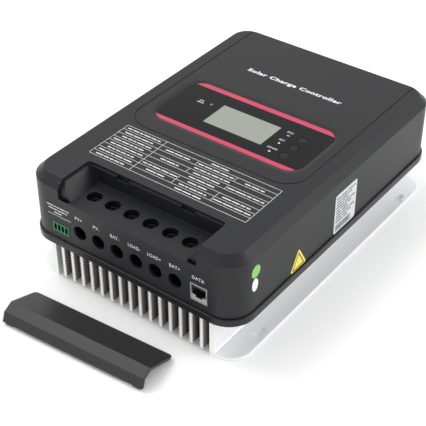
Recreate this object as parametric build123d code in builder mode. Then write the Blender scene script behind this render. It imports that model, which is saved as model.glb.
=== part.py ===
from build123d import *
from math import cos, radians, sin, tan
import os

# Wall-mounted solar charge controller, lying on its heat sink with the display up.
# Millimetres. +X right, +Y away from the cable end, +Z out of the display.
# The origin is the centre of the four keyholes, on the mounting plane.

# ---------------------------------------------------------------- driving dimensions
# heat sink extrusion
sink_end_gap = 1.7          # how far each end stops short of the case
sink_mid_y = 1.5
sink_wall_in = 25.25        # inner face of each side wall, in from the side of the case
sink_wall_t = 4.0
fin_count = 15
fin_pitch = 10.0
fin_t = 1.6
fin_tip_z = 1.8
fin_tooth = 1.3
fin_tooth_pitch = 2.9
sink_base_z = 36.8
sink_top_z = 41.5
flange_out = 0.25           # how far each flange stands out past the case
flange_t = 2.8
flange_end_r = 19.0
keyhole_x = 96.6
keyhole_y = 107.8
keyhole_r = 4.25
keyslot_w = 5.0
keyslot_run = 8.2

# case
case_w = 205.5
case_len = 293.4
case_mid_y = 1.5
case_r = 22.0
seam_z = 42.5
top_z = 98.7
top_chamfer = 7.0
wall = 2.6
roof = 3.4
rim_out = 1.6               # how far the tray's rim stands out of the cover
rim_bottom_z = 36.2
rim_wall = 3.0
tray_floor = 2.5
fit_gap = 0.3
deck_groove_x = 84.8
deck_groove_y = -45.5
deck_groove_r = 22.0
deck_groove_w = 1.2
deck_groove_depth = 0.6

# terminal recess and its loose cover
recess_margin = 20.2        # from the middle of the last way to the side of the recess
recess_depth = 37.6
recess_corner_r = 3.5
floor_z = 82.8
floor_t = 2.2
floor_margin = 10.0         # from the middle of the last way to the side of the recess floor
cover_t = 2.4
ledge_w = 1.5
ledge_drop = 2.6
cover_gap = 0.25
latch_x = 32.0
latch_w = 12.5
latch_t = 1.2
latch_reach = 2.2
hook_in = 5.7               # from the side of the recess to the middle of each hook
hook_w = 6.5
hook_t = 1.3
hook_reach = 1.4

# terminals
way_count = 6
way_pitch = 18.8
wire_z = 58.7
wire_r = 6.3
screw_from_face = 19.4
screw_head_r = 4.6
screw_shank_r = 2.75
thread_gap = 0.3
access_r = 6.3
clamp_travel = 6.0

# display panel
panel_half_x = 72.6
panel_mid_y = 7.6
panel_half_y = 33.8
panel_r = 13.0
panel_sink = 0.8            # how far the panel lies below the deck
bevel_w = 4.0
lens_t = 1.5
lower_strip_w = 5.0
upper_strip_w = 5.7
piece_gap = 0.15
lcd_x = -1.6
lcd_y = 7.0
lcd_w = 58.0
lcd_h = 30.6
button_x = 51.7
button_ys = [16.6, 3.4, -9.8]
button_names = ["esc", "set", "down"]
button_r = 4.2
button_gap = 0.35
button_travel = 0.5
led_x = -40.3
led_y = 16.6
led_r = 1.5

# ports on the front face
port_from_way = 22.4        # from the middle of the last way
port_w = 15.4
port_top_z = 65.3
port_depth = 18.0
header_from_way = 20.5      # from the middle of the first way
header_w = 16.4
header_top_z = 57.9
header_depth = 9.0
header_pitch = 3.81

# boards
board_t = 1.6
standoff_h = 4.0
display_board_z = 89.4

# ---------------------------------------------------------------- derived places
sink_len = case_len - 2 * sink_end_gap
sink_wall_x = case_w / 2 - sink_wall_in
flange_out_x = case_w / 2 + flange_out
sink_front = sink_mid_y - sink_len / 2
sink_screw_ys = [sink_mid_y - sink_len / 2 + 25, sink_mid_y, sink_mid_y + sink_len / 2 - 25]
case_front = case_mid_y - case_len / 2
case_back = case_mid_y + case_len / 2
inner_front = case_front + wall
recess_back = case_front + recess_depth
ledge_z = top_z - ledge_drop
screw_y = case_front + screw_from_face
way_xs = [(i - (way_count - 1) / 2) * way_pitch for i in range(way_count)]
recess_half = way_xs[-1] + recess_margin
floor_half = way_xs[-1] + floor_margin
hook_x = recess_half - hook_in
port_x = way_xs[-1] + port_from_way
header_x = way_xs[0] - header_from_way
tray_top_z = sink_top_z + tray_floor
board_z = tray_top_z + standoff_h
board_top_z = board_z + board_t
roof_z = top_z - roof
lens_top_z = top_z - panel_sink
lens_bottom_z = lens_top_z - lens_t
front_lip_z = top_z - top_chamfer
sink_out_x = sink_wall_x + sink_wall_t
bend = tan(radians(22.5))   # mitre at each 45 degree bend of the terminal cover

os.makedirs("parts", exist_ok=True)


def save(builder, label):
    """Name a finished piece and write it."""
    builder.part.label = label
    export_step(builder.part, f"parts/{label}.step")


def box_between(low, high, mode=Mode.ADD):
    """A box from its lowest to its highest corner, inside the part being built."""
    size = [b - a for a, b in zip(low, high)]
    middle = [(a + b) / 2 for a, b in zip(low, high)]
    with Locations(tuple(middle)):
        Box(*size, mode=mode)


def post(x, y, z_low, z_high, radius, mode=Mode.ADD):
    """An upright cylinder between two heights."""
    with Locations((x, y, (z_low + z_high) / 2)):
        Cylinder(radius, z_high - z_low, mode=mode)


# ---------------------------------------------------------------- heat sink
# One extrusion: a base plate, serrated fins and two side walls that turn out into flanges.
def serrated_side(x, direction):
    """Points up one face of a fin: a saw edge of equal teeth."""
    teeth = int((sink_base_z - fin_tip_z) / fin_tooth_pitch)
    step = (sink_base_z - fin_tip_z) / teeth
    points = [(x, fin_tip_z)]
    for tooth in range(teeth):
        z = fin_tip_z + tooth * step
        points.append((x + direction * fin_tooth, z + step / 2))
        points.append((x, z + step))
    return points


with BuildPart() as heat_sink:
    with BuildSketch(Plane.XZ.offset(-sink_front)) as sink_profile:
        with Locations((0, (sink_base_z + sink_top_z) / 2)):
            Rectangle(2 * sink_out_x, sink_top_z - sink_base_z)
        for side in (-1, 1):
            with Locations((side * (sink_wall_x + sink_wall_t / 2), sink_top_z / 2)):
                Rectangle(sink_wall_t, sink_top_z)
            with Locations((side * (sink_out_x + flange_out_x) / 2, flange_t / 2)):
                Rectangle(flange_out_x - sink_out_x, flange_t)
        for i in range(fin_count):
            x = (i - (fin_count - 1) / 2) * fin_pitch
            left = serrated_side(x - fin_t / 2, -1)
            right = serrated_side(x + fin_t / 2, 1)
            with BuildLine():
                Polyline(*right, *reversed(left), close=True)
            make_face()
    extrude(amount=-sink_len)
    upright_edges = heat_sink.edges().filter_by(Axis.Z)
    ends = upright_edges.filter_by(lambda e: abs(abs(e.center().X) - flange_out_x) < 0.01)
    fillet(ends, flange_end_r)
    roots = heat_sink.edges().filter_by(Axis.Y)
    roots = roots.filter_by(lambda e: abs(abs(e.center().X) - sink_out_x) < 0.01)
    roots = roots.filter_by(lambda e: abs(e.center().Z - flange_t) < 0.01)
    fillet(roots, flange_t * 0.7)
    for sx in (-1, 1):
        for sy in (-1, 1):
            x = sx * keyhole_x
            y = sy * keyhole_y
            post(x, y, -1, flange_t + 1, keyhole_r, Mode.SUBTRACT)
            post(x, y + keyslot_run, -1, flange_t + 1, keyslot_w / 2, Mode.SUBTRACT)
            box_between((x - keyslot_w / 2, y, -1), (x + keyslot_w / 2, y + keyslot_run, flange_t + 1),
                        Mode.SUBTRACT)
    # tapped holes for the screws that hold the tray down
    for sx in (-1, 1):
        for y in sink_screw_ys:
            post(sx * (sink_wall_x - 5), y, sink_top_z - 4, sink_top_z + 1, 1.3,
                 Mode.SUBTRACT)
save(heat_sink, "heat_sink")

# ---------------------------------------------------------------- base tray
# The black rim under the case: a skirt around the top of the heat sink and a floor on top of it.
rim_w = case_w + 2 * rim_out
rim_len = case_len + 2 * rim_out
rim_r = case_r + rim_out
window_x = 62.0
window_y = 34.0
window_mid_y = 62.0
case_screw_x = case_w / 2 - 11.75
case_screw_ys = [case_front + 27.2, 10.0, case_back - 20.2]
case_screw_r = 1.6

with BuildPart() as base_tray:
    with BuildSketch(Plane.XY.offset(rim_bottom_z)):
        with Locations((0, case_mid_y)):
            RectangleRounded(rim_w, rim_len, rim_r)
    extrude(amount=seam_z - rim_bottom_z)
    fillet(base_tray.edges().group_by(Axis.Z)[-1], 1.0)
    with BuildSketch(Plane.XY.offset(rim_bottom_z)):
        with Locations((0, case_mid_y)):
            RectangleRounded(rim_w - 2 * rim_wall, rim_len - 2 * rim_wall, rim_r - rim_wall)
    extrude(amount=sink_top_z - rim_bottom_z, mode=Mode.SUBTRACT)
    with BuildSketch(Plane.XY.offset(seam_z)):
        with Locations((0, case_mid_y)):
            RectangleRounded(case_w - 2 * wall - 2 * fit_gap, case_len - 2 * wall - 2 * fit_gap,
                             case_r - wall - fit_gap)
    extrude(amount=tray_top_z - seam_z)
    box_between((-window_x, window_mid_y - window_y, rim_bottom_z),
                (window_x, window_mid_y + window_y, tray_top_z + 1),
                Mode.SUBTRACT)
    for sx in (-1, 1):
        for y in case_screw_ys:
            post(sx * case_screw_x, y, rim_bottom_z, tray_top_z + 1, case_screw_r + 0.15, Mode.SUBTRACT)
        for y in sink_screw_ys:
            post(sx * (sink_wall_x - 5), y, rim_bottom_z, tray_top_z + 1, 1.75,
                 Mode.SUBTRACT)
save(base_tray, "base_tray")

# ---------------------------------------------------------------- top cover
# A moulded shell with a chamfered top, a stepped recess over the terminals and a pocket for the panel.
def panel_outline(grow=0.0):
    """The display panel's rounded rectangle, grown all round."""
    with Locations((0, panel_mid_y)):
        RectangleRounded(2 * (panel_half_x + grow), 2 * (panel_half_y + grow), panel_r + grow)


def recess_profile(z_low, z_high, grow):
    """Half-section of the recess across X: sloping side walls down to a narrower floor."""
    half_top = recess_half - ledge_w + grow
    half_floor = floor_half + grow
    Polygon((-half_floor, z_low), (half_floor, z_low), (half_top, z_high), (-half_top, z_high), align=None)


with BuildPart() as cavity:
    with BuildSketch(Plane.XY.offset(seam_z - 1)):
        with Locations((0, case_mid_y)):
            RectangleRounded(case_w - 2 * wall, case_len - 2 * wall, case_r - wall)
    extrude(amount=roof_z - seam_z + 1)
    chamfer(cavity.edges().group_by(Axis.Z)[-1], top_chamfer - 1.4)

post_xs = [-62.0, 62.0]
post_ys = [-14.0, 30.0]

with BuildPart() as top_cover:
    with BuildSketch(Plane.XY.offset(seam_z)):
        with Locations((0, case_mid_y)):
            RectangleRounded(case_w, case_len, case_r)
    extrude(amount=top_z - seam_z)
    chamfer(top_cover.edges().group_by(Axis.Z)[-1], top_chamfer)
    add(cavity.part, mode=Mode.SUBTRACT)
    # walls of the terminal recess, back, sides and floor
    with BuildSketch(Plane.XZ.offset(-inner_front + 0.5)):
        recess_profile(floor_z - floor_t, roof_z + 0.5, floor_t)
    extrude(amount=-(recess_depth - wall + floor_t + 0.5))
    box_between((-recess_half - floor_t, inner_front - 0.5, floor_z - floor_t),
                (recess_half + floor_t, inner_front + cover_t, top_z - top_chamfer + 1))
    box_between((-recess_half - floor_t, recess_back - 4, ledge_z - floor_t),
                (recess_half + floor_t, recess_back + floor_t, roof_z + 0.5))
    for side in (-1, 1):
        low = min(side * (recess_half - 4), side * (recess_half + floor_t))
        high = max(side * (recess_half - 4), side * (recess_half + floor_t))
        box_between((low, inner_front, ledge_z - floor_t), (high, recess_back, roof_z + 0.5))
    # the recess itself: a shallow step for the cover, the deep part, and the front notch
    with BuildSketch(Plane.XY.offset(ledge_z)):
        with Locations((0, (case_front - 10 + recess_back) / 2)):
            RectangleRounded(2 * recess_half, recess_back - case_front + 10, recess_corner_r)
    extrude(amount=top_z - ledge_z + 1, mode=Mode.SUBTRACT)
    with BuildSketch(Plane.XZ.offset(-case_front + 1)):
        recess_profile(floor_z, ledge_z + 0.01, 0)
    extrude(amount=-(recess_depth - ledge_w + 1), mode=Mode.SUBTRACT)
    box_between((-recess_half, case_front - 1, floor_z),
                (recess_half, case_front + cover_t + cover_gap, top_z + 1),
                Mode.SUBTRACT)
    with BuildSketch(Plane.YZ.offset(-recess_half)):
        slope_y = case_front + cover_t
        slope_z = front_lip_z - bend * cover_t - 1.4 * cover_gap
        Polygon((slope_y, slope_z), (slope_y + ledge_z - slope_z, ledge_z), (slope_y, ledge_z), align=None)
    extrude(amount=2 * recess_half, mode=Mode.SUBTRACT)
    # latch notches in the back ledge and hook slots in the floor
    for side in (-1, 1):
        x = side * latch_x
        box_between((x - latch_w / 2, recess_back - ledge_w - 0.5, ledge_z - 2.4),
                    (x + latch_w / 2, recess_back + 1.6, ledge_z + 0.45),
                    Mode.SUBTRACT)
        x = side * hook_x
        half = hook_w / 2 + 0.4
        box_between((x - half, case_front + 0.5, floor_z - floor_t - 1),
                    (x + half, case_front + cover_t + cover_gap, floor_z + 1),
                    Mode.SUBTRACT)
    # wire entries and screwdriver holes
    for x in way_xs:
        with Locations(Location((x, case_front, wire_z), (90, 0, 0))):
            Cylinder(wire_r, 4 * wall, mode=Mode.SUBTRACT)
        post(x, screw_y, floor_z - floor_t - 1, floor_z + 1, access_r, Mode.SUBTRACT)
    # port cut-outs
    box_between((port_x - port_w / 2 - 0.2, case_front - 1, board_top_z),
                (port_x + port_w / 2 + 0.2, inner_front + 1, port_top_z + 0.2),
                Mode.SUBTRACT)
    box_between((header_x - header_w / 2 - 0.2, case_front - 1, board_top_z),
                (header_x + header_w / 2 + 0.2, inner_front + 1, header_top_z + 0.2), Mode.SUBTRACT)
    # panel pocket with a sloping surround, and the opening under it
    with BuildSketch(Plane.XY.offset(top_z)):
        panel_outline(bevel_w)
    with BuildSketch(Plane.XY.offset(lens_top_z)):
        panel_outline(piece_gap)
    loft(mode=Mode.SUBTRACT)
    with BuildSketch(Plane.XY.offset(lens_bottom_z - 0.1)):
        panel_outline(piece_gap)
    extrude(amount=top_z - lens_bottom_z, mode=Mode.SUBTRACT)
    with BuildSketch(Plane.XY.offset(roof_z - 1)):
        panel_outline(-3.0)
    extrude(amount=roof, mode=Mode.SUBTRACT)
    # groove around the raised deck, open at the back
    with BuildSketch(Plane.XY.offset(top_z - deck_groove_depth)):
        deck_len = case_back + 20 - deck_groove_y
        with Locations((0, deck_groove_y + deck_len / 2)):
            RectangleRounded(2 * deck_groove_x, deck_len, deck_groove_r)
            RectangleRounded(2 * (deck_groove_x - deck_groove_w), deck_len - 2 * deck_groove_w,
                             deck_groove_r - deck_groove_w,
                             mode=Mode.SUBTRACT)
    extrude(amount=deck_groove_depth + 1, mode=Mode.SUBTRACT)
    # posts for the display board, hung from the lip, and bosses for the case screws
    for sx in (-1, 1):
        for y in case_screw_ys:
            post(sx * case_screw_x, y, tray_top_z + 0.1, roof_z + 0.5, 4.0)
            post(sx * case_screw_x, y, tray_top_z, tray_top_z + 14, 1.25, Mode.SUBTRACT)
    for x in post_xs:
        for y in post_ys:
            box_between((x - 3, y - 3, display_board_z + board_t), (x + 3, y + 3, roof_z))
            side = 1 if y > panel_mid_y else -1
            reach = panel_mid_y + side * (panel_half_y - 2)
            box_between((x - 3, min(y, reach), roof_z - 3), (x + 3, max(y, reach), roof_z))
            post(x, y, display_board_z, display_board_z + 6, 1.0, Mode.SUBTRACT)
save(top_cover, "top_cover")

# ---------------------------------------------------------------- terminal cover
# A bent plate of three facets that closes the recess. It rests tilted on the bench on its two long edges.
cover_half = recess_half - cover_gap
facet_top = recess_depth - top_chamfer - cover_gap
facet_front = front_lip_z - floor_z - cover_gap
cover_tilt = 21.1
cover_yaw = 3.7
cover_rest_x = -71.9
cover_rest_y = -213.6
cover_rest_z = 2.7

yaw = radians(cover_yaw)
tilt = radians(cover_tilt)
loose_plane = Plane(origin=(cover_rest_x, cover_rest_y, cover_rest_z),
                    x_dir=(-sin(yaw) * cos(tilt), cos(yaw) * cos(tilt), -sin(tilt)),
                    z_dir=(cos(yaw), sin(yaw), 0))


def cover_outline():
    """The cover's bent section: x is the depth from the front face, y the height from the lower edge."""
    t = cover_t
    Polygon((0, 0), (t, 0), (t, facet_front - bend * t),
            (top_chamfer + bend * t, facet_front + top_chamfer - t),
            (top_chamfer + facet_top, facet_front + top_chamfer - t), (top_chamfer + facet_top,
                                                                       facet_front + top_chamfer),
            (top_chamfer, facet_front + top_chamfer), (0, facet_front), align=None)


with BuildPart() as terminal_cover:
    with BuildSketch(loose_plane):
        cover_outline()
    extrude(amount=2 * cover_half)
    back_depth = top_chamfer + facet_top
    under = facet_front + top_chamfer - cover_t
    corners = terminal_cover.edges().filter_by(lambda e: abs(e.length - cover_t) < 0.01 * cover_t)
    corners = corners.sort_by(lambda e: loose_plane.to_local_coords(e.center()).X)[-2:]
    fillet(corners, recess_corner_r - cover_gap)
    for side in (-1, 1):
        with BuildSketch(loose_plane.offset(cover_half + side * latch_x - (latch_w - 1) / 2)):
            with Locations((back_depth - 1, under - latch_t / 2)):
                Rectangle(2 * latch_reach, latch_t)
        extrude(amount=latch_w - 1)
        with BuildSketch(loose_plane.offset(cover_half + side * hook_x - hook_w / 2)):
            with Locations((cover_t - hook_t / 2, 0)):
                Rectangle(hook_t, 2 * hook_reach)
        extrude(amount=hook_w)
save(terminal_cover, "terminal_cover")

# ---------------------------------------------------------------- display panel
with BuildPart() as display_lens:
    with BuildSketch(Plane.XY.offset(lens_bottom_z)):
        panel_outline()
        lens_low = panel_mid_y - panel_half_y + lower_strip_w
        lens_high = panel_mid_y + panel_half_y - upper_strip_w
        with Locations((0, (lens_low + lens_high) / 2)):
            Rectangle(2 * panel_half_x, lens_high - lens_low, mode=Mode.INTERSECT)
        with Locations((lcd_x, lcd_y)):
            Rectangle(lcd_w + 2 * piece_gap, lcd_h + 2 * piece_gap, mode=Mode.SUBTRACT)
        with Locations(*[(button_x, y) for y in button_ys]):
            Circle(button_r + button_gap, mode=Mode.SUBTRACT)
        with Locations((led_x, led_y)):
            Circle(led_r + piece_gap, mode=Mode.SUBTRACT)
    extrude(amount=lens_t)
save(display_lens, "display_lens")


def accent_strip(y_low, y_high, label):
    """A coloured strip that fills one long end of the panel's outline."""
    with BuildPart() as strip:
        with BuildSketch(Plane.XY.offset(lens_bottom_z)):
            panel_outline()
            with Locations((0, (y_low + y_high) / 2)):
                Rectangle(2 * panel_half_x, y_high - y_low, mode=Mode.INTERSECT)
        extrude(amount=lens_t)
    save(strip, label)


accent_strip(panel_mid_y - panel_half_y, lens_low - piece_gap, "accent_strip_lower")
accent_strip(lens_high + piece_gap, panel_mid_y + panel_half_y, "accent_strip_upper")

with BuildPart() as lcd_glass:
    box_between((lcd_x - lcd_w / 2, lcd_y - lcd_h / 2, lens_bottom_z),
                (lcd_x + lcd_w / 2, lcd_y + lcd_h / 2, lens_top_z - 0.2))
save(lcd_glass, "lcd_glass")

with BuildPart() as lcd_module:
    box_between((lcd_x - lcd_w / 2 - 3, lcd_y - lcd_h / 2 - 4, display_board_z + board_t),
                (lcd_x + lcd_w / 2 + 3, lcd_y + lcd_h / 2 + 4, lens_bottom_z))
save(lcd_module, "lcd_module")

with BuildPart() as display_board:
    box_between((-68, panel_mid_y - panel_half_y + 6, display_board_z),
                (68, panel_mid_y + panel_half_y - 6, display_board_z + board_t))
    for x in post_xs:
        for y in post_ys:
            post(x, y, display_board_z - 1, display_board_z + board_t + 1, 1.2, Mode.SUBTRACT)
save(display_board, "display_board")

with BuildPart() as display_board_screws:
    for x in post_xs:
        for y in post_ys:
            post(x, y, display_board_z - 1.4, display_board_z, 2.0)
            post(x, y, display_board_z, display_board_z + 5, 0.95)
save(display_board_screws, "display_board_screws")

# tactile switches stand under the buttons; each button closes the gap above its switch
switch_top_z = display_board_z + board_t + 3.0
cap_bottom_z = lens_bottom_z - 0.9
with BuildPart() as tact_switches:
    for y in button_ys:
        box_between((button_x - 3, y - 3, display_board_z + board_t), (button_x + 3, y + 3, switch_top_z))
save(tact_switches, "tact_switches")

for name, y in zip(button_names, button_ys):
    with BuildPart() as button:
        post(button_x, y, cap_bottom_z, lens_bottom_z - 0.1, button_r + 1.0)
        post(button_x, y, lens_bottom_z - 0.1, lens_top_z - 0.05, button_r)
        fillet(button.edges().group_by(Axis.Z)[-1], 0.3)
        post(button_x, y, switch_top_z + button_travel + 0.1, cap_bottom_z, 1.6)
    save(button, f"button_{name}")

with BuildPart() as status_led:
    post(led_x, led_y, display_board_z + board_t, lens_top_z - 0.1, led_r)
save(status_led, "status_led")

# ---------------------------------------------------------------- main board
board_half_x = case_w / 2 - 18.75
board_front = inner_front + 0.6
board_back = case_back - wall - 8
standoff_xs = [6 - board_half_x, board_half_x - 6]
standoff_ys = [case_front + 45.2, 20.0, case_back - 18.2]

with BuildPart() as main_board:
    box_between((-board_half_x, board_front, board_z), (board_half_x, board_back, board_top_z))
    for x in standoff_xs:
        for y in standoff_ys:
            post(x, y, board_z - 1, board_top_z + 1, 1.7, Mode.SUBTRACT)
    # the window through which the power devices reach the heat sink
    box_between((-window_x + 2, window_mid_y - 14, board_z - 1),
                (window_x - 2, window_mid_y + 14, board_top_z + 1), Mode.SUBTRACT)
save(main_board, "main_board")

with BuildPart() as standoffs:
    for x in standoff_xs:
        for y in standoff_ys:
            post(x, y, tray_top_z, board_z, 3.5)
            post(x, y, tray_top_z - 1, board_z + 1, 1.4, Mode.SUBTRACT)
save(standoffs, "standoffs")

with BuildPart() as board_screws:
    for x in standoff_xs:
        for y in standoff_ys:
            post(x, y, board_top_z, board_top_z + 2, 3.0)
            post(x, y, tray_top_z + 0.6, board_top_z, 1.35)
save(board_screws, "board_screws")

with BuildPart() as power_devices:
    for i in range(6):
        x = (i - 2.5) * 18.5
        box_between((x - 7.5, window_mid_y - 9, sink_top_z + 0.4),
                    (x + 7.5, window_mid_y + 9, sink_top_z + 5.4))
save(power_devices, "power_devices")

with BuildPart() as thermal_pad:
    box_between((-window_x + 4, window_mid_y - 11, sink_top_z),
                (window_x - 4, window_mid_y + 11, sink_top_z + 0.4))
save(thermal_pad, "thermal_pad")

with BuildPart() as clamp_bar:
    box_between((-window_x + 4, window_mid_y - 3, sink_top_z + 5.4),
                (window_x - 4, window_mid_y + 3, sink_top_z + 8.4))
save(clamp_bar, "device_clamp_bar")

# toroidal inductors lie flat on the board: a ring core and a winding that covers most of it
coil_centres = [(-52.0, -48.0), (0.0, -48.0), (52.0, -48.0)]
core_out = 19.0
core_in = 11.0
core_h = 14.0
winding_t = 2.0
core_low_z = board_top_z + winding_t + 0.3

with BuildPart() as inductor_cores:
    for x, y in coil_centres:
        post(x, y, core_low_z, core_low_z + core_h, core_out)
        post(x, y, core_low_z - 1, core_low_z + core_h + 1, core_in, Mode.SUBTRACT)
save(inductor_cores, "inductor_cores")

with BuildPart() as inductor_windings:
    for x, y in coil_centres:
        post(x, y, core_low_z - winding_t, core_low_z + core_h + winding_t, core_out + winding_t)
        post(x, y, core_low_z - winding_t - 1, core_low_z + core_h + winding_t + 1, core_in - winding_t,
             Mode.SUBTRACT)
        box_between((x - 5, y - core_out - 4, board_top_z), (x + 5, y, core_low_z + core_h + 5),
                    Mode.SUBTRACT)
    add(inductor_cores.part, mode=Mode.SUBTRACT)
save(inductor_windings, "inductor_windings")

with BuildPart() as capacitors:
    for i in range(6):
        post(-60 + i * 24, 2, board_top_z, board_top_z + 30, 9)
    fillet(capacitors.edges().group_by(Axis.Z)[-1], 1.0)
save(capacitors, "capacitors")

with BuildPart() as ribbon_cable:
    box_between((-20, 30, board_top_z), (0, 30.4, display_board_z))
save(ribbon_cable, "ribbon_cable")

# ---------------------------------------------------------------- terminal block
block_half = (way_count - 1) / 2 * way_pitch + 10.4
block_front = inner_front + 0.2
block_back = screw_y + 16
block_top = floor_z - floor_t - 0.2
cage_w = 13.4
cage_d = 10.0
cage_gap = 0.35
window_w = 10.6
cage_floor = 2.0
cage_low = wire_z - 7.0
cage_window_top = wire_z + 5.5
cage_top = cage_window_top + 4.0
bar_low = wire_z + 3.0
bar_high = wire_z + 5.0
head_low = wire_z + 16.6
head_high = head_low + 3.6

with BuildPart() as terminal_block:
    box_between((-block_half, block_front, board_top_z), (block_half, block_back, block_top))
    for x in way_xs:
        room = cage_w / 2 + cage_gap
        deep = cage_d / 2 + cage_gap
        box_between((x - room, screw_y - deep, cage_low - cage_gap),
                    (x + room, screw_y + deep, cage_top + clamp_travel + cage_gap),
                    Mode.SUBTRACT)
        with Locations(Location((x, (block_front + screw_y) / 2, wire_z), (90, 0, 0))):
            Cylinder(wire_r - 0.3, screw_y - block_front, mode=Mode.SUBTRACT)
        post(x, screw_y, cage_top, block_top + 1, screw_shank_r + thread_gap, Mode.SUBTRACT)
        post(x, screw_y, head_low - 0.1, block_top + 1, screw_head_r + 0.35, Mode.SUBTRACT)
        box_between((x - 4.6, screw_y, bar_low - 0.1), (x + 4.6, block_back + 1, bar_high + 0.1),
                    Mode.SUBTRACT)
save(terminal_block, "terminal_block")

with BuildPart() as busbars:
    for x in way_xs:
        box_between((x - 4.4, screw_y - cage_d / 2, bar_low), (x + 4.4, block_back + 3, bar_high))
        box_between((x - 4.4, block_back + 1, board_top_z), (x + 4.4, block_back + 3, bar_high))
save(busbars, "busbars")

for i, x in enumerate(way_xs):
    with BuildPart() as clamp_cage:
        box_between((x - cage_w / 2, screw_y - cage_d / 2, cage_low),
                    (x + cage_w / 2, screw_y + cage_d / 2, cage_top))
        box_between((x - window_w / 2, screw_y - cage_d, cage_low + cage_floor),
                    (x + window_w / 2, screw_y + cage_d, cage_window_top),
                    Mode.SUBTRACT)
        post(x, screw_y, cage_window_top - 1, cage_top + 1, screw_shank_r + thread_gap, Mode.SUBTRACT)
    save(clamp_cage, f"clamp_cage_{i + 1}")

    with BuildPart() as terminal_screw:
        post(x, screw_y, bar_high + 0.3, head_low, screw_shank_r)
        post(x, screw_y, head_low, head_high, screw_head_r)
        box_between((x - screw_head_r, screw_y - 0.6, head_high - 1.8),
                    (x + screw_head_r, screw_y + 0.6, head_high + 1), Mode.SUBTRACT)
        box_between((x - 0.6, screw_y - 3, head_high - 1.8), (x + 0.6, screw_y + 3, head_high + 1),
                    Mode.SUBTRACT)
    save(terminal_screw, f"terminal_screw_{i + 1}")

# ---------------------------------------------------------------- data port and signal header
port_front = case_front - 0.4
with BuildPart() as port_shield:
    box_between((port_x - port_w / 2, port_front, board_top_z),
                (port_x + port_w / 2, port_front + port_depth, port_top_z))
    box_between((port_x - port_w / 2 + 0.9, port_front - 1, board_top_z + 1.2),
                (port_x + port_w / 2 - 0.9, port_front + port_depth - 0.8, port_top_z - 0.9), Mode.SUBTRACT)
save(port_shield, "port_shield")

# moulded insert with the stepped plug opening: a wide mouth and a narrower latch slot below it
with BuildPart() as port_insert:
    box_between((port_x - port_w / 2 + 0.9, port_front + 0.5, board_top_z + 1.2),
                (port_x + port_w / 2 - 0.9, port_front + port_depth - 0.8, port_top_z - 0.9))
    box_between((port_x - 5.9, port_front, board_top_z + 5.2),
                (port_x + 5.9, port_front + 13, board_top_z + 12.2), Mode.SUBTRACT)
    box_between((port_x - 3.2, port_front, board_top_z + 3.2),
                (port_x + 3.2, port_front + 11, board_top_z + 6), Mode.SUBTRACT)
save(port_insert, "port_insert")

with BuildPart() as port_contacts:
    for i in range(8):
        x = port_x + (i - 3.5) * 1.27
        box_between((x - 0.25, port_front + 3, board_top_z + 11.4),
                    (x + 0.25, port_front + 13, board_top_z + 12.2))
save(port_contacts, "port_contacts")

header_front = case_front - 0.3
header_low_z = board_top_z
with BuildPart() as signal_header:
    box_between((header_x - header_w / 2, header_front, header_low_z),
                (header_x + header_w / 2, header_front + header_depth, header_top_z))
    box_between((header_x - header_w / 2 + 1, header_front - 1, header_low_z + 1),
                (header_x + header_w / 2 - 1, header_front + header_depth - 1.5,
                 header_top_z - 1), Mode.SUBTRACT)
    for i in range(1, 4):
        x = header_x + (i - 2) * header_pitch
        box_between((x - 0.5, header_front, header_low_z + 0.9),
                    (x + 0.5, header_front + 7.6, header_top_z - 0.9))
save(signal_header, "signal_header")

with BuildPart() as header_pins:
    for i in range(4):
        x = header_x + (i - 1.5) * header_pitch
        z = (header_low_z + header_top_z) / 2
        box_between((x - 0.5, header_front + 2, z - 0.5),
                    (x + 0.5, header_front + header_depth - 1.5, z + 0.5))
save(header_pins, "header_pins")

# ---------------------------------------------------------------- fasteners under the tray
with BuildPart() as case_screws:
    for sx in (-1, 1):
        for y in case_screw_ys:
            post(sx * case_screw_x, y, sink_top_z - 2.2, sink_top_z, 3.0)
            post(sx * case_screw_x, y, sink_top_z, tray_top_z + 9, 1.2)
save(case_screws, "case_screws")

with BuildPart() as sink_screws:
    for sx in (-1, 1):
        x = sx * (sink_wall_x - 5)
        for y in sink_screw_ys:
            post(x, y, tray_top_z, tray_top_z + 2, 2.8)
            post(x, y, sink_top_z - 3, tray_top_z, 1.25)
save(sink_screws, "sink_screws")

# ---------------------------------------------------------------- labels stuck on the right side
label_x = case_w / 2
label_t = 0.15
with BuildPart() as rating_label:
    with BuildSketch(Plane.YZ.offset(label_x)):
        with Locations((case_mid_y + 2.0, 62.2)):
            RectangleRounded(32, 38, 2)
    extrude(amount=label_t)
save(rating_label, "rating_label")

with BuildPart() as hazard_sticker:
    with BuildSketch(Plane.YZ.offset(label_x)) as hazard_outline:
        with Locations((case_front + 81.8, 50.2)):
            RegularPolygon(12.8, 3, rotation=90)
        fillet(hazard_outline.vertices(), 1.4)
    extrude(amount=label_t)
save(hazard_sticker, "hazard_sticker")

with BuildPart() as check_stickers:
    with BuildSketch(Plane.YZ.offset(label_x)):
        with Locations((case_front + 24.4, 79.5)):
            Circle(5.4)
        with Locations((case_front + 23.6, 67.2)):
            Ellipse(3.7, 5.9)
    extrude(amount=label_t)
save(check_stickers, "check_stickers")
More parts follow.
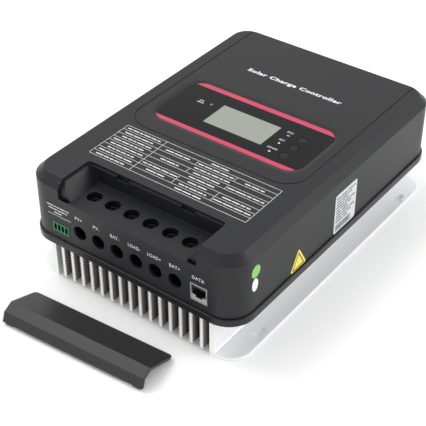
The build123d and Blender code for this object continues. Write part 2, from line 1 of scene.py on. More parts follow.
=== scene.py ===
import bpy
import numpy as np
from mathutils import Matrix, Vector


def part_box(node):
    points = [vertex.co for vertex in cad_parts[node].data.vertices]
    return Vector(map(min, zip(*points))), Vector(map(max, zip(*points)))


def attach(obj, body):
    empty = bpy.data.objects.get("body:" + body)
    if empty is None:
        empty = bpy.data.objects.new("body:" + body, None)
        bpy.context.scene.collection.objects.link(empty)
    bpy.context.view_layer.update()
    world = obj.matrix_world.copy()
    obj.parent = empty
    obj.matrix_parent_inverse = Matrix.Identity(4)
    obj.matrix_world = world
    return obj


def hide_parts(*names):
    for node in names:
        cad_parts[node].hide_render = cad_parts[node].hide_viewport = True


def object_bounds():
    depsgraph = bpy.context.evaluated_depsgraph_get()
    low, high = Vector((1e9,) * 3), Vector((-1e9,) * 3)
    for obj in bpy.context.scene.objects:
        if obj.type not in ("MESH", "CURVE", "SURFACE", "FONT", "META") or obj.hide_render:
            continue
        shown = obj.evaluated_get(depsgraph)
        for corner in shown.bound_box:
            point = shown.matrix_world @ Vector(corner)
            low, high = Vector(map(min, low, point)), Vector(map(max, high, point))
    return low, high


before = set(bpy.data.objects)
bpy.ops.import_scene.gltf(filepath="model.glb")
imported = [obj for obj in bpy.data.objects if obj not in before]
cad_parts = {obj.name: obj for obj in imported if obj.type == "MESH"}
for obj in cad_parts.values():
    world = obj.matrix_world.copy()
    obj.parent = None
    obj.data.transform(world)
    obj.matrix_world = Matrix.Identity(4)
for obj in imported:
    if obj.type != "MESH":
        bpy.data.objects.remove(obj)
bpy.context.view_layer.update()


# ---------------------------------------------------------------- heat sink
# The body of the controller is a length of extruded aluminium, clear anodised: a base plate, serrated
# fins and two side walls that turn out into flanges. The die leaves fine lines along its length, and
# the sawn ends are plain.
def new_group(name, inputs, outputs):
    """A shader node group with named sockets; inputs are (name, type, value)."""
    tree = bpy.data.node_groups.new(name, "ShaderNodeTree")
    for label, kind, value in inputs:
        socket = tree.interface.new_socket(label, in_out="INPUT", socket_type=kind)
        socket.default_value = value
    for label, kind in outputs:
        tree.interface.new_socket(label, in_out="OUTPUT", socket_type=kind)
    return tree, tree.nodes.new("NodeGroupInput"), tree.nodes.new("NodeGroupOutput")


def math_node(tree, operation, first, second):
    """first (operation) second, where each is a socket or a number; returns the result's socket."""
    node = tree.nodes.new("ShaderNodeMath")
    node.operation = operation
    for socket, value in zip(node.inputs, (first, second)):
        if isinstance(value, (int, float)):
            socket.default_value = value
        else:
            tree.links.new(value, socket)
    return node.outputs[0]


def scaled(tree, vector, scale):
    """vector times scale, part by part."""
    node = tree.nodes.new("ShaderNodeMapping")
    node.inputs["Scale"].default_value = scale
    tree.links.new(vector, node.inputs["Vector"])
    return node.outputs["Vector"]


# Surface: tone = base * (1 + spread * (cloud - 0.5)), roughness = rough + 0.3 * spread * (cloud - 0.5),
# height = fine grain, all on the Vector handed in.
surface_inputs = [("Vector", "NodeSocketVector", (0, 0, 0)), ("Colour", "NodeSocketColor", (0.5, 0.5, 0.5, 1)),
                  ("Rough", "NodeSocketFloat", 0.5), ("Spread", "NodeSocketFloat", 0.2),
                  ("Cloud size", "NodeSocketFloat", 40.0), ("Grain size", "NodeSocketFloat", 1200.0)]
surface_outputs = [("Colour", "NodeSocketColor"), ("Roughness", "NodeSocketFloat"), ("Height", "NodeSocketFloat")]
surface_group, group_in, group_out = new_group("surface", surface_inputs, surface_outputs)
cloud = surface_group.nodes.new("ShaderNodeTexNoise")
cloud.inputs["Detail"].default_value = 4.0
surface_group.links.new(group_in.outputs["Vector"], cloud.inputs["Vector"])
surface_group.links.new(group_in.outputs["Cloud size"], cloud.inputs["Scale"])
grain = surface_group.nodes.new("ShaderNodeTexNoise")
grain.inputs["Detail"].default_value = 2.0
surface_group.links.new(group_in.outputs["Vector"], grain.inputs["Vector"])
surface_group.links.new(group_in.outputs["Grain size"], grain.inputs["Scale"])
swing = math_node(surface_group, "SUBTRACT", cloud.outputs[0], 0.5)
swing = math_node(surface_group, "MULTIPLY", swing, group_in.outputs["Spread"])
gain = math_node(surface_group, "ADD", swing, 1.0)
tone = surface_group.nodes.new("ShaderNodeVectorMath")
tone.operation = "SCALE"
surface_group.links.new(group_in.outputs["Colour"], tone.inputs[0])
surface_group.links.new(gain, tone.inputs["Scale"])
surface_group.links.new(tone.outputs[0], group_out.inputs["Colour"])
rough_swing = math_node(surface_group, "MULTIPLY", swing, 0.3)
surface_group.links.new(math_node(surface_group, "ADD", group_in.outputs["Rough"], rough_swing),
                        group_out.inputs["Roughness"])
surface_group.links.new(grain.outputs[0], group_out.inputs["Height"])


def finish(name, colour, rough, metal=0.0, specular=0.5, spread=0.25, cloud_size=40.0, grain_size=1200.0,
           depth=0.00002, edge=0.0003, stretch=(1.0, 1.0, 1.0), coat=0.0):
    """A material with cloudy tone, fine relief and edges rounded off by the radius edge, in metres."""
    material = bpy.data.materials.new(name)
    material.use_nodes = True
    tree = material.node_tree
    shader = tree.nodes["Principled BSDF"]
    shader.inputs["Metallic"].default_value = metal
    shader.inputs["Specular IOR Level"].default_value = specular
    shader.inputs["Coat Weight"].default_value = coat
    shader.inputs["Coat Roughness"].default_value = 0.08
    place = tree.nodes.new("ShaderNodeTexCoord")
    surface = tree.nodes.new("ShaderNodeGroup")
    surface.node_tree = surface_group
    tree.links.new(scaled(tree, place.outputs["Object"], stretch), surface.inputs["Vector"])
    surface.inputs["Colour"].default_value = (*colour, 1)
    surface.inputs["Rough"].default_value = rough
    surface.inputs["Spread"].default_value = spread
    surface.inputs["Cloud size"].default_value = cloud_size
    surface.inputs["Grain size"].default_value = grain_size
    bump = tree.nodes.new("ShaderNodeBump")
    bump.inputs["Distance"].default_value = depth
    rounded = tree.nodes.new("ShaderNodeBevel")
    rounded.samples = 4
    rounded.inputs["Radius"].default_value = edge
    tree.links.new(rounded.outputs["Normal"], bump.inputs["Normal"])
    tree.links.new(surface.outputs["Height"], bump.inputs["Height"])
    tree.links.new(surface.outputs["Colour"], shader.inputs["Base Color"])
    tree.links.new(surface.outputs["Roughness"], shader.inputs["Roughness"])
    tree.links.new(bump.outputs["Normal"], shader.inputs["Normal"])
    return material


def dress(node, material):
    """Gives a CAD node its material."""
    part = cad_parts[node]
    if not part.material_slots:
        part.data.materials.append(material)
    for place in part.material_slots:
        place.material = material


def blend_colour(tree, mask, first, second):
    """first where mask is 0 and second where it is 1; each is a socket or an (r, g, b)."""
    node = tree.nodes.new("ShaderNodeMix")
    node.data_type = "RGBA"
    tree.links.new(mask, node.inputs[0])
    for socket, value in ((node.inputs[6], first), (node.inputs[7], second)):
        if isinstance(value, tuple):
            socket.default_value = (*value, 1)
        else:
            tree.links.new(value, socket)
    return node.outputs[2]


def recolour(material, mask, colour):
    """Paints colour over the material's own where mask is 1."""
    tree = material.node_tree
    base = tree.nodes["Principled BSDF"].inputs["Base Color"]
    tree.links.new(blend_colour(tree, mask, base.links[0].from_socket, colour), base)


anodised = finish("anodised_extrusion", (0.86, 0.88, 0.89), 0.44, metal=0.35, spread=0.10, cloud_size=9.0,
                  grain_size=60.0, depth=0.00003, edge=0.00025, stretch=(22.0, 0.5, 22.0))
# The channels between the fins are painted darker for their deep shade, since what finish they have in there
# isn't known:
# painted shade, mid grey all through them and falling to near black from a few millimetres in from each sawn end.
# The sawn ends are painted bright over it, a painted highlight.
sink_tree = anodised.node_tree
sink_place = sink_tree.nodes.new("ShaderNodeSeparateXYZ")
sink_tree.links.new(sink_tree.nodes["Texture Coordinate"].outputs["Object"], sink_place.inputs[0])
sink_facing = sink_tree.nodes.new("ShaderNodeSeparateXYZ")
sink_tree.links.new(sink_tree.nodes.new("ShaderNodeNewGeometry").outputs["True Normal"],
                    sink_facing.inputs[0])
wall_inset = 0.02525        # inner face of a side wall, in from the side of the case
channel_top = 0.0371        # just above the roots of the fins
bright_end = 0.0005         # how far in from a sawn end the tone starts to fall
dark_from = 0.0085          # and where it is darkest
wall_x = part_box("top_cover")[1][0] - wall_inset
inside = math_node(sink_tree, "LESS_THAN", math_node(sink_tree, "ABSOLUTE", sink_place.outputs["X"], 0.0),
                   wall_x)
low_down = math_node(sink_tree, "LESS_THAN", sink_place.outputs["Z"], channel_top)
sink_low, sink_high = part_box("heat_sink")
sink_middle_y = (sink_low[1] + sink_high[1]) / 2
from_middle = math_node(sink_tree, "ABSOLUTE",
                        math_node(sink_tree, "SUBTRACT", sink_place.outputs["Y"], sink_middle_y), 0.0)
from_end = math_node(sink_tree, "SUBTRACT", (sink_high[1] - sink_low[1]) / 2, from_middle)
# Painted shade: the channel tone falls from bright_end to dark_from in from each sawn end.
channel_shade_depth = sink_tree.nodes.new("ShaderNodeMapRange")
channel_shade_depth.interpolation_type = "SMOOTHSTEP"
channel_shade_depth.inputs["From Min"].default_value = bright_end
channel_shade_depth.inputs["From Max"].default_value = dark_from
sink_tree.links.new(from_end, channel_shade_depth.inputs["Value"])
# Painted shade: the channels are painted mid grey all through, then near black deeper in.
channel = math_node(sink_tree, "MULTIPLY", inside, low_down)
recolour(anodised, channel, (0.40, 0.39, 0.37))
recolour(anodised, math_node(sink_tree, "MULTIPLY", channel, channel_shade_depth.outputs["Result"]),
         (0.045, 0.040, 0.035))
# Painted highlight: faces that look along the length, the sawn ends, are painted near white over the painted
# shade.
facing_end = 0.9            # size of the normal's Y above which a face counts as a sawn end
sawn_end_highlight = math_node(sink_tree, "GREATER_THAN", math_node(sink_tree, "ABSOLUTE", sink_facing.outputs["Y"], 0.0),
                 facing_end)
recolour(anodised, sawn_end_highlight, (0.93, 0.92, 0.89))
dress("heat_sink", anodised)
sink_screw_zinc = finish("sink_screw_zinc", (0.62, 0.63, 0.66), 0.32, metal=1.0, spread=0.2,
                         cloud_size=300.0, edge=0.00015)
dress("sink_screws", sink_screw_zinc)

# ---------------------------------------------------------------- base tray
# A black moulded tray sits over the top of the extrusion like a lid. Its rim shows as a smooth band all
# round the case, a little glossier than the cover above it.
tray_plastic = finish("tray_plastic", (0.007, 0.007, 0.008), 0.26, specular=0.35, spread=0.2,
                      cloud_size=30.0, grain_size=1500.0, depth=0.00001, edge=0.0008)
dress("base_tray", tray_plastic)

# ---------------------------------------------------------------- top cover
# The cover is one moulding in charcoal plastic with a fine spark texture all over, so that it shines
# softly. Its edges are eased by the mould. Six screws under the tray hold it down.
case_plastic = finish("case_plastic", (0.0080, 0.0084, 0.0100), 0.42, specular=0.35, spread=0.22,
                      cloud_size=18.0, grain_size=1000.0, depth=0.00008, edge=0.0009)
dress("top_cover", case_plastic)
case_screw_zinc = finish("case_screw_zinc", (0.55, 0.56, 0.58), 0.35, metal=1.0, spread=0.25,
                         cloud_size=260.0, edge=0.00015)
dress("case_screws", case_screw_zinc)

# ---------------------------------------------------------------- terminal cover
# The loose cover is a bent strip in the same plastic as the case with a slightly drier texture. It lifts
# off by hand to reach the screws.
cover_plastic = finish("cover_plastic", (0.013, 0.012, 0.0135), 0.40, specular=0.45, spread=0.22,
                       cloud_size=22.0, grain_size=900.0, depth=0.00010, edge=0.0008)
dress("terminal_cover", cover_plastic)

# ---------------------------------------------------------------- display lens and accent strips
# A sheet of smoked acrylic lies flush in the panel pocket. The two long ends of the same pocket hold
# strips in translucent red with a polished face.
lens_acrylic = finish("lens_acrylic", (0.003, 0.003, 0.0035), 0.12, specular=0.16, spread=0.1,
                      cloud_size=12.0, grain_size=200.0, depth=0.000002, edge=0.0002)
dress("display_lens", lens_acrylic)
red_acrylic = finish("red_acrylic", (0.52, 0.040, 0.090), 0.3, specular=0.4, spread=0.2, cloud_size=25.0,
                     grain_size=300.0, depth=0.000004, edge=0.0003)
dress("accent_strip_lower", red_acrylic)
dress("accent_strip_upper", red_acrylic)

# ---------------------------------------------------------------- liquid crystal display
# The display is off: grey-green glass over a pale reflector, held in a bright frame on the display board.
lcd_grey = finish("lcd_grey", (0.27, 0.285, 0.25), 0.22, specular=0.5, spread=0.12, cloud_size=14.0,
                  grain_size=900.0, depth=0.000002, edge=0.0002)
dress("lcd_glass", lcd_grey)
lcd_frame_metal = finish("lcd_frame_metal", (0.55, 0.55, 0.53), 0.35, metal=0.9, spread=0.2,
                         cloud_size=60.0, grain_size=500.0)
dress("lcd_module", lcd_frame_metal)


# ---------------------------------------------------------------- printing on the lens
# White ink: short generic legends beside the three keys and over the lamp, and small pictograms. Printed
# film and pad print are flat, so every mark is a thin flat face just above the surface it is printed on.
def blocks(rects):
    """Rectangles (u0, v0, u1, v1) as (corners, faces): corners u0v0, u1v0, u1v1, u0v1."""
    rects = np.asarray(rects, dtype=float)
    corners = rects[:, [0, 1, 2, 1, 2, 3, 0, 3]].reshape(-1, 2)
    return corners, np.arange(len(corners)).reshape(-1, 4).tolist()


def lettering(text, left, right, low, high, weight=0.004, spacing=1.15):
    """A word as (corners, faces), stretched to fill the box from left to right and low to high:
    u = left + (x - x0) / (x1 - x0) * (right - left), and v from y in the same way."""
    curve = bpy.data.curves.new("words", "FONT")
    curve.body = text
    curve.offset = weight
    curve.resolution_u = 3
    curve.space_character = spacing
    words = bpy.data.objects.new("words", curve)
    bpy.context.scene.collection.objects.link(words)
    bpy.context.view_layer.update()
    flat = bpy.data.meshes.new_from_object(words.evaluated_get(bpy.context.evaluated_depsgraph_get()))
    corners = np.empty(len(flat.vertices) * 3)
    flat.vertices.foreach_get("co", corners)
    corners = corners.reshape(-1, 3)[:, :2]
    faces = [list(face.vertices) for face in flat.polygons]
    bpy.data.objects.remove(words)
    bpy.data.curves.remove(curve)
    bpy.data.meshes.remove(flat)
    start, size = corners.min(axis=0), np.ptp(corners, axis=0)
    return np.array((left, low)) + (corners - start) / size * np.array((right - left, high - low)), faces


def dashes(left, right, low, high, seed):
    """A row of plain bars as long as words, with gaps between, that fills the line from left to right."""
    draw = np.random.default_rng(seed)
    unit = high - low
    lengths = unit * draw.uniform(2.5, 9.0, 30)
    starts = left + np.concatenate([[0], np.cumsum(lengths + unit * 0.8)[:-1]])
    keep = starts < right - unit
    starts, ends = starts[keep], np.minimum(starts + lengths, right)[keep]
    return blocks(np.stack([starts, np.full(len(starts), low), ends, np.full(len(starts), high)], axis=1))


def print_on(name, marks, origin, across, up, material):
    """Joins marks, in mm, into one flat piece: corner = origin + u * across + v * up."""
    corners, faces, count = [], [], 0
    for points, loops in marks:
        corners.append(points * 0.001)
        faces += [[index + count for index in loop] for loop in loops]
        count += len(points)
    flat = np.concatenate(corners)
    points = (np.asarray(origin)[None] + flat[:, 0, None] * np.asarray(across)[None]
              + flat[:, 1, None] * np.asarray(up)[None])
    mesh = bpy.data.meshes.new(name)
    mesh.from_pydata(points.tolist(), [], faces)
    mesh.materials.append(material)
    piece = bpy.data.objects.new(name, mesh)
    bpy.context.scene.collection.objects.link(piece)
    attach(piece, "controller")


ink_lift = 0.00004
x_axis, y_axis, z_axis = (1, 0, 0), (0, 1, 0), (0, 0, 1)
white_ink = finish("white_ink", (0.74, 0.74, 0.75), 0.5, spread=0.12, cloud_size=400.0, depth=0.000004,
                   edge=0.00005)
lens_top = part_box("display_lens")[1][2]
lens_marks = [lettering("ON", -52.6, -48.2, 15.6, 17.8), dashes(-53.4, -46.0, 13.4, 14.2, 4),
              lettering("ESC", 35.0, 40.6, 19.1, 21.4), lettering("SET", 35.3, 40.6, 6.2, 8.4),
              lettering("DOWN", 33.6, 42.6, -7.9, -5.6),
              blocks([(37.6, 1.5, 39.2, 3.1), (38.0, 14.8, 38.8, 16.4), (37.2, 15.2, 39.6, 16.0),
                      (37.4, -12.4, 39.4, -10.9)])]
print_on("lens_print", lens_marks, (0, 0, lens_top + ink_lift), x_axis, y_axis, white_ink)

# ---------------------------------------------------------------- printing on the top of the cover
# Pad-printed white ink on the textured plastic: what the thing is, in one bold line above the panel, and
# below the panel a ruled table of eight rows whose cells hold plain bars in place of words. Places and
# sizes are in mm, from the middle of the controller.
top_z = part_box("top_cover")[1][2]
table_left, table_right, table_low, table_high = -75.2, 77.6, -98.9, -50.9
rule = 0.36                 # thickness of the table's lines
rows = 8
dash_lift, dash_h = 2.3, 1.1
column_1, column_2, column_3 = -34.0, 3.0, 40.4
row_h = (table_high - table_low) / rows
title = lettering("Solar Charge Controller", -48.0, 48.0, 78.0, 84.2, weight=0.036, spacing=1.08)
line_ys = table_low + row_h * np.arange(rows + 1)
lines = np.stack([np.full(rows + 1, table_left), line_ys - rule / 2, np.full(rows + 1, table_right),
                  line_ys + rule / 2], axis=1)
uprights = [(table_left, 0, rows), (table_right, 0, rows), (column_1, 0, rows)]
split_rows = (1, 3, 5, 6)
for row in split_rows:
    uprights += [(x, rows - 1 - row, rows - row) for x in (column_2, column_3)]
columns = [(x - rule / 2, table_low + a * row_h, x + rule / 2, table_low + b * row_h) for x, a,
           b in uprights]
marks = [title, blocks(lines), blocks(columns)]
for row in range(rows):
    low = table_high - (row + 1) * row_h + dash_lift
    marks.append(dashes(-72.5 + 2 * (row % 3), -37.5 - 4 * (row % 2), low, low + dash_h, 20 + row))
    cells = [(-33, 3), (3, 40), (40, 77)] if row in split_rows else [(-33, 77)]
    for k, (a, b) in enumerate(cells):
        middle, half = (a + b) / 2, min((b - a) / 2, 9 + 4 * ((row + k) % 3))
        marks.append(dashes(middle - half, middle + half, low, low + dash_h, 40 + 7 * row + k))
print_on("top_print", marks, (0, 0, top_z + ink_lift), x_axis, y_axis, white_ink)

# ---------------------------------------------------------------- printing on the front of the cover
# The same ink over the wire entries: the generic name and polarity of each terminal, a word over the data
# port, and three plain bars with a rule over the signal header.
front_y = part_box("top_cover")[0][1]
word_low, word_high = 70.5, 73.6
terminal_words = [("PV+", -51.0, -43.8), ("PV-", -32.4, -26.2), ("BAT-", -15.0, -6.2), ("LOAD-", 2.6, 14.6),
                  ("LOAD+", 21.4, 34.2),
                  ("BAT+", 42.2, 52.2)]
marks = [lettering(word, left, right, word_low, word_high) for word, left, right in terminal_words]
marks.append(lettering("DATA", 63.4, 74.4, 69.7, 72.8))
note_z, note_h, note_pitch = 73.4, 0.9, 2.9
for k, (left, right) in enumerate([(-80.5, -57.5), (-79.0, -59.5), (-73.5, -64.0)]):
    marks.append(dashes(left, right, note_z - note_pitch * k, note_z + note_h - note_pitch * k, 80 + k))
marks.append(blocks([(-80.5, 65.2, -56.0, 65.6)]))
print_on("front_print", marks, (0, front_y - ink_lift, 0), x_axis, z_axis, white_ink)

# ---------------------------------------------------------------- labels on the right side
# Printed film labels: a white rating label with plain bars and a bar pattern, a plain yellow triangle with
# a dark border, and two small inspection dots, one green and one white.
label_film = finish("label_film", (0.58, 0.59, 0.60), 0.4, spread=0.1, cloud_size=60.0, depth=0.000004,
                    edge=0.00006)
dress("rating_label", label_film)
dark_ink = finish("dark_ink", (0.03, 0.03, 0.035), 0.5, spread=0.1, cloud_size=400.0, depth=0.000003,
                  edge=0.00005)
label_low, label_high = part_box("rating_label")
label_y0, label_z0 = label_low[1] * 1000, label_low[2] * 1000
label_w = label_high[1] * 1000 - label_y0
label_h = label_high[2] * 1000 - label_z0
label_lines, line_pitch, first_line, line_h = 9, 2.9, 4.6, 1.25
marks = []
for k in range(label_lines):
    low = label_z0 + label_h - first_line - line_pitch * k
    marks.append(dashes(label_y0 + 2.0, label_y0 + label_w - 2.5 - 5 * (k % 3), low, low + line_h, 90 + k))
bar_count, bar_gap, bar_low, bar_high = 24, 0.4, 2.0, 8.0
bars = np.random.default_rng(7).uniform(0.25, 0.8, bar_count)
edges = label_y0 + 2.5 + np.concatenate([[0], np.cumsum(bars + bar_gap)[:-1]])
marks.append(blocks(np.stack([edges, np.full(bar_count, label_z0 + bar_low), edges + bars,
                              np.full(bar_count, label_z0 + bar_high)], axis=1)))
print_on("rating_print", marks, (label_high[0] + ink_lift, 0, 0), y_axis, z_axis, dark_ink)

yellow_film = finish("yellow_film", (0.80, 0.68, 0.06), 0.38, spread=0.1, cloud_size=60.0, depth=0.000003,
                     edge=0.00006)
dress("hazard_sticker", yellow_film)
tri_low, tri_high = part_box("hazard_sticker")
tri_corners = np.array([(tri_low[1], tri_low[2]), (tri_high[1], tri_low[2]),
                        ((tri_low[1] + tri_high[1]) / 2, tri_high[2])]) * 1000
tri_middle = tri_corners.mean(axis=0)
border_out, border_in = 0.84, 0.66      # outer and inner edge of the border, as shares of the sticker
ring = np.concatenate([tri_middle + (tri_corners - tri_middle) * share for share in (border_out,
                                                                                     border_in)])
print_on("hazard_border", [(ring, [[0, 1, 4, 3], [1, 2, 5, 4], [2, 0, 3, 5]])],
         (tri_high[0] + ink_lift, 0, 0), y_axis, z_axis,
         dark_ink)

check_film = finish("check_film", (0.20, 0.50, 0.10), 0.38, spread=0.1, cloud_size=60.0, depth=0.000003,
                    edge=0.00006)
check_low, check_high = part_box("check_stickers")
split_z = check_low[2] + (check_high[2] - check_low[2]) * 0.5
check_tree = check_film.node_tree
check_place = check_tree.nodes.new("ShaderNodeSeparateXYZ")
check_tree.links.new(check_tree.nodes["Texture Coordinate"].outputs["Object"], check_place.inputs[0])
recolour(check_film, math_node(check_tree, "LESS_THAN", check_place.outputs["Z"], split_z),
         (0.74, 0.76, 0.77))
dress("check_stickers", check_film)

# ---------------------------------------------------------------- buttons and lamp
# Three domed keys in black plastic stand just below the lens face, with a clear lamp across from them.
key_plastic = finish("key_plastic", (0.004, 0.004, 0.0045), 0.3, specular=0.25, spread=0.2,
                     cloud_size=120.0, edge=0.0004)
for name in ("esc", "set", "down"):
    dress("button_" + name, key_plastic)
lamp_clear = finish("lamp_clear", (0.10, 0.11, 0.10), 0.15, specular=0.6, spread=0.15, cloud_size=300.0,
                    edge=0.0004, coat=0.5)
dress("status_led", lamp_clear)

# ---------------------------------------------------------------- terminals
# The terminal block is a black moulding. A plated cage rises round each wire as its screw is turned, and
# clamps the wire against a copper bar. The screws are given a near-black tone that stands for the shade at
# the bottom of their holes; plated steel is the likelier finish.
block_plastic = finish("block_plastic", (0.0025, 0.0025, 0.003), 0.6, specular=0.08, spread=0.3,
                       cloud_size=50.0, grain_size=900.0, depth=0.00004)
dress("terminal_block", block_plastic)
plated_steel = finish("plated_steel", (0.62, 0.62, 0.60), 0.28, metal=1.0, spread=0.25, cloud_size=160.0,
                      edge=0.00025)
screw_shaded = finish("screw_shaded", (0.006, 0.006, 0.0065), 0.6, metal=0.1, specular=0.12, spread=0.3,
                      cloud_size=320.0, edge=0.0002)
screw_zinc = finish("screw_zinc", (0.58, 0.59, 0.62), 0.3, metal=1.0, spread=0.3, cloud_size=320.0,
                    edge=0.0002)
for way in range(1, 7):
    dress(f"clamp_cage_{way}", plated_steel)
    dress(f"terminal_screw_{way}", screw_shaded)
bar_copper = finish("bar_copper", (0.72, 0.36, 0.20), 0.35, metal=1.0, spread=0.35, cloud_size=90.0,
                    grain_size=700.0)
dress("busbars", bar_copper)

# ---------------------------------------------------------------- data port and signal header
# A folded tinned shield round a black insert with eight gilt spring contacts, and a green header with
# four tinned pins.
shield_tin = finish("shield_tin", (0.66, 0.66, 0.65), 0.3, metal=1.0, spread=0.2, cloud_size=90.0,
                    edge=0.00025)
dress("port_shield", shield_tin)
insert_plastic = finish("insert_plastic", (0.014, 0.014, 0.015), 0.45, spread=0.2, cloud_size=150.0)
# The strip under the mouth is given the shield's tin colour, as a folded lip; its true shape isn't known.
port_tree = insert_plastic.node_tree
port_place = port_tree.nodes.new("ShaderNodeSeparateXYZ")
port_tree.links.new(port_tree.nodes["Texture Coordinate"].outputs["Object"], port_place.inputs[0])
port_low, port_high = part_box("port_insert")
face_depth, lip_share = 0.0003, 0.34    # the front skin, and the part of its height below the mouth
port_face = math_node(port_tree, "LESS_THAN", port_place.outputs["Y"], port_low[1] + face_depth)
below_mouth = math_node(port_tree, "LESS_THAN", port_place.outputs["Z"],
                        port_low[2] + (port_high[2] - port_low[2]) * lip_share)
recolour(insert_plastic, math_node(port_tree, "MULTIPLY", port_face, below_mouth), (0.36, 0.36, 0.35))
dress("port_insert", insert_plastic)
contact_gold = finish("contact_gold", (0.85, 0.60, 0.22), 0.22, metal=1.0, spread=0.15, cloud_size=300.0,
                      edge=0.0001)
dress("port_contacts", contact_gold)
header_green = finish("header_green", (0.02, 0.20, 0.075), 0.42, spread=0.2, cloud_size=150.0, edge=0.0003)
# The wells round the pins are given a near-black green that stands for their shade.
header_tree = header_green.node_tree
header_place = header_tree.nodes.new("ShaderNodeSeparateXYZ")
header_tree.links.new(header_tree.nodes["Texture Coordinate"].outputs["Object"], header_place.inputs[0])
header_well = math_node(header_tree, "GREATER_THAN", header_place.outputs["Y"],
                        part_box("signal_header")[0][1] + 0.0006)
recolour(header_green, header_well, (0.004, 0.016, 0.008))
dress("signal_header", header_green)
dress("header_pins", shield_tin)

# ---------------------------------------------------------------- boards inside the case
# Fibreglass boards under green solder mask, with the copper pattern showing faintly through it.
board_mask = finish("board_mask", (0.02, 0.16, 0.06), 0.32, spread=0.9, cloud_size=160.0, grain_size=260.0,
                    depth=0.00003, coat=0.3)
dress("main_board", board_mask)
dress("display_board", board_mask)
brass = finish("standoff_brass", (0.70, 0.52, 0.24), 0.3, metal=1.0, spread=0.25, cloud_size=200.0)
dress("standoffs", brass)
dress("board_screws", screw_zinc)
dress("display_board_screws", screw_zinc)
switch_steel = finish("switch_steel", (0.45, 0.45, 0.46), 0.35, metal=0.9, spread=0.3, cloud_size=300.0)
dress("tact_switches", switch_steel)
ribbon_grey = finish("ribbon_grey", (0.50, 0.50, 0.49), 0.5, spread=1.0, cloud_size=40.0,
                     stretch=(20.0, 1.0, 0.2))
dress("ribbon_cable", ribbon_grey)

# ---------------------------------------------------------------- power parts inside the case
# Six power devices lie on a soft pad on the heat sink under a steel bar. Beside them stand the storage
# capacitors and three ring-core chokes.
device_epoxy = finish("device_epoxy", (0.02, 0.02, 0.021), 0.5, spread=0.3, cloud_size=180.0)
dress("power_devices", device_epoxy)
pad_silicone = finish("pad_silicone", (0.36, 0.42, 0.48), 0.7, spread=0.25, cloud_size=120.0)
dress("thermal_pad", pad_silicone)
bar_steel = finish("bar_steel", (0.50, 0.50, 0.50), 0.38, metal=1.0, spread=0.3, cloud_size=60.0,
                   stretch=(1.0, 8.0, 8.0))
dress("device_clamp_bar", bar_steel)
core_coating = finish("core_coating", (0.05, 0.16, 0.12), 0.55, spread=0.5, cloud_size=220.0)
dress("inductor_cores", core_coating)
sleeve_film = finish("sleeve_film", (0.02, 0.025, 0.05), 0.25, spread=0.2, cloud_size=60.0, coat=0.3)
dress("capacitors", sleeve_film)

# The windings are enamelled copper wire wound side by side round each ring core. The wire's centre line
# goes round the core's section as the turn angle grows: a rounded oblong of half-width w and half-height h,
# r = middle + w * c(t), z = level + h * s(t), where c and s are cosine and sine flattened by a power.
wire_copper = finish("wire_copper", (0.70, 0.30, 0.14), 0.28, metal=1.0, spread=0.3, cloud_size=120.0,
                     coat=0.4)
cores_low, cores_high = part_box("inductor_cores")
core_height = cores_high[2] - cores_low[2]
core_out = (cores_high[1] - cores_low[1]) / 2
core_wall = 0.008
core_in = core_out - core_wall
wire_r = 0.0008
turns = 34
steps = 24
opening = 0.62              # angle left bare between the coil's ends
flatten = 0.35              # power that squares up the cosine and sine
stand_off = wire_r * 1.15   # wire's centre line, out from the core
tube_sides = 6
level = (cores_low[2] + cores_high[2]) / 2
turn = np.linspace(0, 1, turns * steps + 1)
angle = 2 * np.pi * turns * turn
round_ring = -np.pi / 2 + opening / 2 + (2 * np.pi - opening) * turn
flat_cos = np.sign(np.cos(angle)) * np.abs(np.cos(angle)) ** flatten
flat_sin = np.sign(np.sin(angle)) * np.abs(np.sin(angle)) ** flatten
radius = (core_out + core_in) / 2 + ((core_out - core_in) / 2 + stand_off) * flat_cos
height = level + (core_height / 2 + stand_off) * flat_sin
for number in range(3):
    coil_x = cores_low[0] + core_out + number * (cores_high[0] - cores_low[0] - 2 * core_out) / 2
    coil_y = (cores_low[1] + cores_high[1]) / 2
    line = np.stack([coil_x + radius * np.cos(round_ring), coil_y + radius * np.sin(round_ring), height],
                    axis=1)
    along = np.gradient(line, axis=0)
    along /= np.linalg.norm(along, axis=1, keepdims=True)
    outward = np.stack([np.cos(round_ring), np.sin(round_ring), np.zeros_like(turn)], axis=1)
    side = np.cross(along, np.stack([-outward[:, 1], outward[:, 0], outward[:, 2]], axis=1))
    side /= np.linalg.norm(side, axis=1, keepdims=True)
    other = np.cross(along, side)
    ring_angle = 2 * np.pi * np.arange(tube_sides) / tube_sides
    tube = (line[:, None] + wire_r * (np.cos(ring_angle)[None, :, None] * side[:, None]
                                      + np.sin(ring_angle)[None, :, None] * other[:, None]))
    index = np.arange(tube.shape[0] * tube_sides).reshape(-1, tube_sides)
    quads = np.stack([index[:-1], np.roll(index, -1, axis=1)[:-1], np.roll(index, -1, axis=1)[1:],
                      index[1:]], axis=-1).reshape(-1, 4)
    caps = [index[0][::-1].tolist(), index[-1].tolist()]
    coil_mesh = bpy.data.meshes.new(f"choke_winding_{number + 1}")
    coil_mesh.from_pydata(tube.reshape(-1, 3).tolist(), [], quads.tolist() + caps)
    coil_mesh.materials.append(wire_copper)
    coil_mesh.shade_smooth()
    coil = bpy.data.objects.new(f"choke_winding_{number + 1}", coil_mesh)
    bpy.context.scene.collection.objects.link(coil)
    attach(coil, "controller")
    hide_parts("inductor_windings")

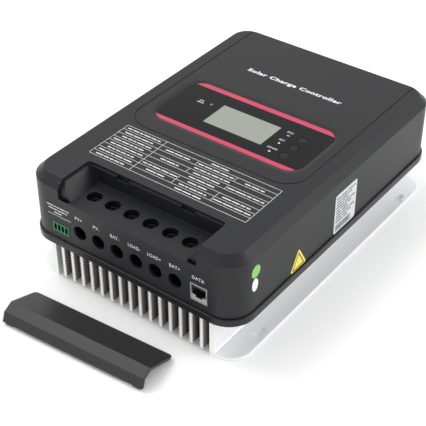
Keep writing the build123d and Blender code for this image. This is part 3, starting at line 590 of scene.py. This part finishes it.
# ---------------------------------------------------------------- floor, light and camera
# A pale matt sweep under plain soft studio light: a bright overcast surround, a large softbox high behind
# on the left and a second one low on the right.
floor_half, floor_gap = 4, 0.0002
floor_z = min(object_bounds()[0][2], 0.0) - floor_gap
floor_mesh = bpy.data.meshes.new("floor")
floor_mesh.from_pydata([(x * floor_half, y * floor_half, floor_z) for x,
                        y in ((-1, -1), (1, -1), (1, 1), (-1, 1))], [], [(0, 1, 2, 3)])
floor_paint = finish("floor_paint", (0.96, 0.96, 0.96), 0.8, specular=0.2, spread=0.01, cloud_size=2.0,
                     depth=0.0)
floor_mesh.materials.append(floor_paint)
floor = bpy.data.objects.new("floor", floor_mesh)
bpy.context.scene.collection.objects.link(floor)

world = bpy.data.worlds.new("studio")
world.use_nodes = True
world.node_tree.nodes["Background"].inputs["Color"].default_value = (1.0, 1.0, 1.0, 1)
world.node_tree.nodes["Background"].inputs["Strength"].default_value = 1.0
bpy.context.scene.world = world


def softbox(name, place, size, power):
    """A square area light at place, in metres, aimed at the middle of the controller."""
    light = bpy.data.lights.new(name, "AREA")
    light.shape = "SQUARE"
    light.size = size
    light.energy = power
    lamp = bpy.data.objects.new(name, light)
    back = np.array(place, dtype=float) - np.array((0.0, 0.0, 0.05))
    back /= np.linalg.norm(back)
    right = np.cross((0, 0, 1), back)
    right /= np.linalg.norm(right)
    up = np.cross(back, right)
    turn_to = Matrix(np.stack([right, up, back], axis=1).tolist()).to_4x4()
    lamp.matrix_world = Matrix.Translation(place) @ turn_to
    bpy.context.scene.collection.objects.link(lamp)


softbox("softbox_top", (-0.95, -0.15, 1.7), 0.9, 12.0)
softbox("softbox_right", (1.7, 0.9, 0.8), 0.9, 12.0)

camera_data = bpy.data.cameras.new("camera")
camera_data.lens = 96.37
camera_data.sensor_width = 36.0
camera_data.clip_start = 0.01
camera_data.clip_end = 50.0
camera = bpy.data.objects.new("camera", camera_data)
camera_right = (0.80060, 0.59919, -0.00227)
camera_up = (-0.36404, 0.48940, 0.79244)
camera_back = (0.47593, -0.63361, 0.60994)
turn_to = Matrix(np.stack([camera_right, camera_up, camera_back], axis=1).tolist()).to_4x4()
camera.matrix_world = Matrix.Translation((0.45296, -0.63831, 0.61301)) @ turn_to
bpy.context.scene.collection.objects.link(camera)
bpy.context.scene.camera = camera
bpy.context.scene.view_settings.view_transform = "Standard"
